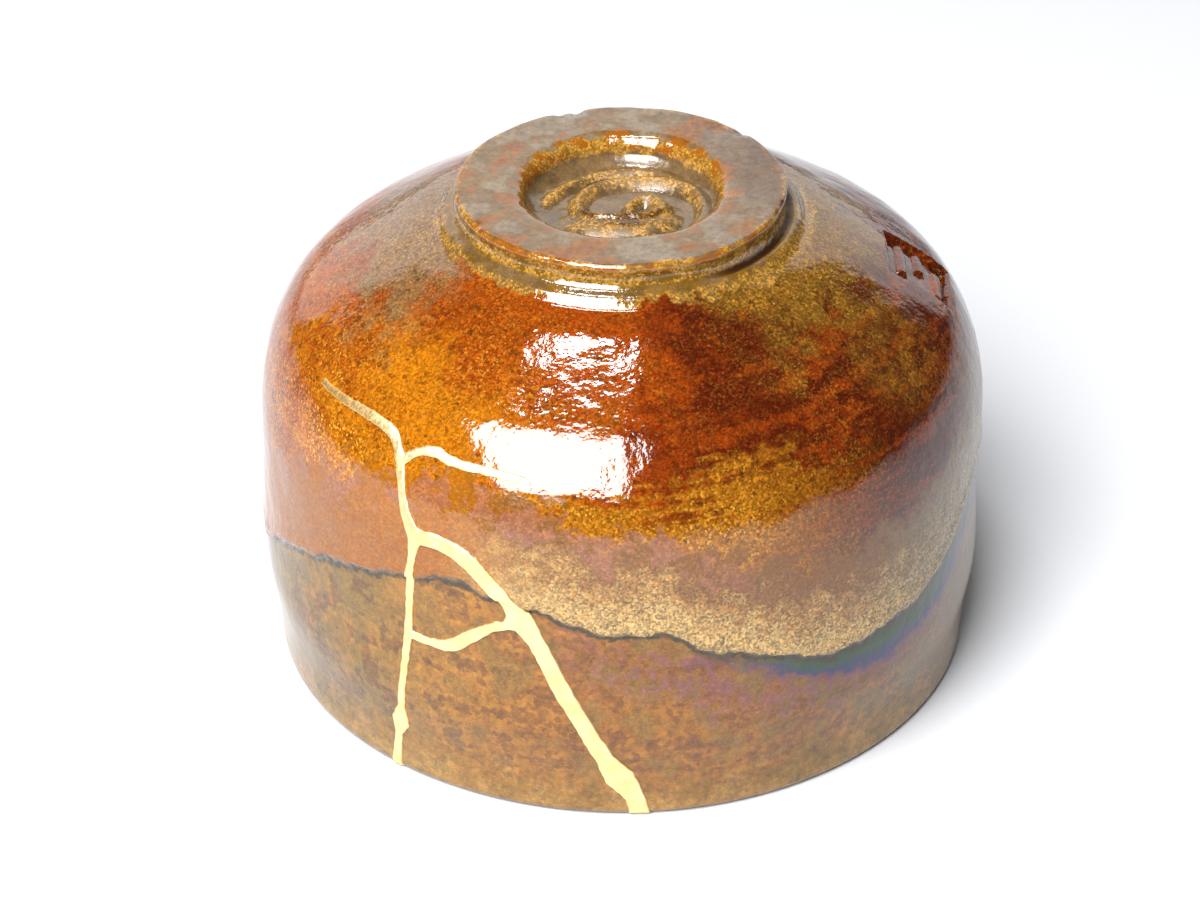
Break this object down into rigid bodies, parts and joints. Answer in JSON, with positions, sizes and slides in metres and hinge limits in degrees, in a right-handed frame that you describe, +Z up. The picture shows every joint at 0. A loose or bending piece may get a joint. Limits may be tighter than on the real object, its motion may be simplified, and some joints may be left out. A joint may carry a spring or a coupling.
{
  "type": "kintsugi tea bowl",
  "caption": "Round stoneware tea bowl with a foot ring, turned over on its rim, its broken side mended with a branching raised gold seam.",
  "frame": {"origin": "centre of the rim, on the surface that the turned-over bowl stands on", "axes": "+Z up through the foot ring, -Y towards the mended side, +X towards the seal impression"},
  "size_m": [0.1192, 0.1202, 0.0826],
  "materials": {
    "glazed_stoneware": "gloss",
    "gold_lacquer": "satin"
  },
  "bodies": {
    "root": {"bowl_body": "glazed_stoneware", "rim_shard": "glazed_stoneware", "wall_shard": "glazed_stoneware", "gold_seam": "gold_lacquer"}
  },
  "joints": []
}
